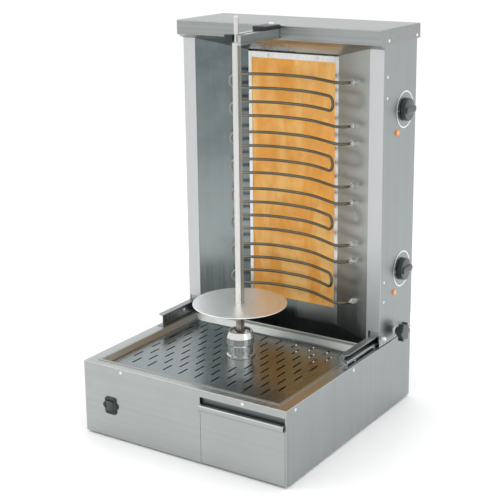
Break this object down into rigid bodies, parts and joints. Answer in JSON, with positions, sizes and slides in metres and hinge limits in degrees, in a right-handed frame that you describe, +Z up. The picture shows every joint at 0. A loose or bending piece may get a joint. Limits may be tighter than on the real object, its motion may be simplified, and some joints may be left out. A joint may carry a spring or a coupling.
{
  "type": "vertical rotisserie oven",
  "caption": "Counter-top vertical rotisserie grill: a driven upright spit on a steel base with drip tray and grease drawer, facing a sliding electric heating tower.",
  "frame": {"origin": "centre of the middle foot's underside, on the counter under the middle of the base", "axes": "+X to the right of someone facing the front, +Y to the back, +Z up"},
  "size_m": [0.623, 0.645, 1.014],
  "materials": {
    "casing_front": "brushed across, satin",
    "casing_side": "brushed, satin",
    "hood_steel": "brushed lengthwise, satin",
    "deck_steel": "satin",
    "tray_steel": "satin, lightly stained by fat",
    "drawer_steel": "satin",
    "reflector_steel": "bright rolled, heat tinted",
    "frame_strip_steel": "bright",
    "refractory": "fired fibre board, rough",
    "insulation": "mineral wool board, rough",
    "element_sheath": "oxidised alloy sheath, olive brown",
    "bright_steel": "bright zinc and stainless fasteners",
    "spit_steel": "ground stainless, browned at the foot",
    "disc_steel": "satin, fine turning marks",
    "hub_steel": "turned and polished",
    "arm_steel": "satin",
    "rail_steel": "satin",
    "zinc_plate": "zinc plated",
    "black_blocks": "black, moulded",
    "black_knobs": "black phenolic, semi gloss",
    "rocker_plastic": "black, gloss",
    "dial_plate": "printed scale ring, satin",
    "lamp_lens": "amber, clear gloss",
    "foot_rubber": "black rubber",
    "gear_casting": "die cast",
    "motor_enamel": "dark enamel",
    "bearing_bronze": "sintered bronze",
    "switchgear": "cream phenolic"
  },
  "bodies": {
    "base": {"drip_tray": "tray_steel", "base_left_panel": "casing_side", "base_right_panel": "casing_side", "base_back_panel": "casing_front", "cable_gland": "black_blocks", "front_panel": "casing_front", "base_bottom_plate": "deck_steel", "feet": "foot_rubber", "top_deck": "deck_steel", "base_fasteners": "bright_steel", "rail_left": "rail_steel", "rail_right": "rail_steel", "guide_rod": "rail_steel", "grease_funnel": "drawer_steel", "drawer_runners": "zinc_plate", "motor_bracket": "zinc_plate", "gearbox": "gear_casting", "drive_motor": "motor_enamel", "shaft_bearing": "bearing_bronze", "switch_bezel": "black_blocks"},
    "drawer": {"grease_drawer": "drawer_steel", "drawer_front": "casing_front"},
    "spindle": {"drive_shaft": "spit_steel", "spit_hub": "hub_steel", "hub_bolts": "bright_steel", "spit_bar": "spit_steel", "disc_pin": "spit_steel"},
    "disc": {"meat_disc": "disc_steel"},
    "rocker": {"switch_rocker": "rocker_plastic"},
    "tower": {"tower_left_panel": "casing_side", "tower_right_panel": "casing_side", "tower_back_panel": "casing_side", "hood": "hood_steel", "reflector_left": "reflector_steel", "reflector_right": "reflector_steel", "reflector_roof": "reflector_steel", "reflector_sill": "reflector_steel", "refractory_panel": "refractory", "insulation_board": "insulation", "panel_frame": "frame_strip_steel", "heating_element_1": "element_sheath", "heating_element_2": "element_sheath", "heating_element_3": "element_sheath", "heating_element_4": "element_sheath", "element_fittings": "bright_steel", "energy_regulators": "switchgear", "dials": "dial_plate", "pilot_lamps": "lamp_lens", "terminal_block": "switchgear", "tower_carriage": "zinc_plate", "slide_shoes": "zinc_plate", "clamp_block": "zinc_plate", "tower_fasteners": "bright_steel", "arm_guide_block": "black_blocks", "arm_track": "arm_steel"},
    "control_knob_upper": {"knob_upper": "black_knobs"},
    "control_knob_lower": {"knob_lower": "black_knobs"},
    "clamp": {"clamp_knob": "black_knobs"},
    "arm": {"top_arm": "arm_steel", "bearing_jaw": "black_blocks"}
  },
  "joints": [
    {"name": "spit_spin", "type": "hinge", "parent": "base", "child": "spindle", "pos_m": [0, -0.053, 0.2], "axis": [0, 0, 1], "continuous": true},
    {"name": "disc_lift", "type": "slide", "parent": "spindle", "child": "disc", "axis": [0, 0, 1], "range_m": [0, 0.6]},
    {"name": "drawer_slide", "type": "slide", "parent": "base", "child": "drawer", "axis": [0, -1, 0], "range_m": [0, 0.3]},
    {"name": "rocker_tilt", "type": "hinge", "parent": "base", "child": "rocker", "pos_m": [-0.209, -0.309, 0.087], "axis": [1, 0, 0], "range_deg": [-8, 8]},
    {"name": "tower_slide", "type": "slide", "parent": "base", "child": "tower", "axis": [0, -1, 0], "range_m": [0, 0.09]},
    {"name": "arm_slide", "type": "slide", "parent": "tower", "child": "arm", "axis": [0, 1, 0], "range_m": [0, 0.09]},
    {"name": "knob_upper_turn", "type": "hinge", "parent": "tower", "child": "control_knob_upper", "pos_m": [0.29, 0.25, 0.774], "axis": [1, 0, 0], "range_deg": [-300, 0]},
    {"name": "knob_lower_turn", "type": "hinge", "parent": "tower", "child": "control_knob_lower", "pos_m": [0.29, 0.25, 0.367], "axis": [1, 0, 0], "range_deg": [-300, 0]},
    {"name": "clamp_turn", "type": "hinge", "parent": "tower", "child": "clamp", "pos_m": [0.29, 0.217, 0.212], "axis": [1, 0, 0], "range_deg": [0, 360]}
  ],
  "couplings": [
    {"joint": "arm_slide", "follows": "tower_slide", "ratio": 1}
  ]
}
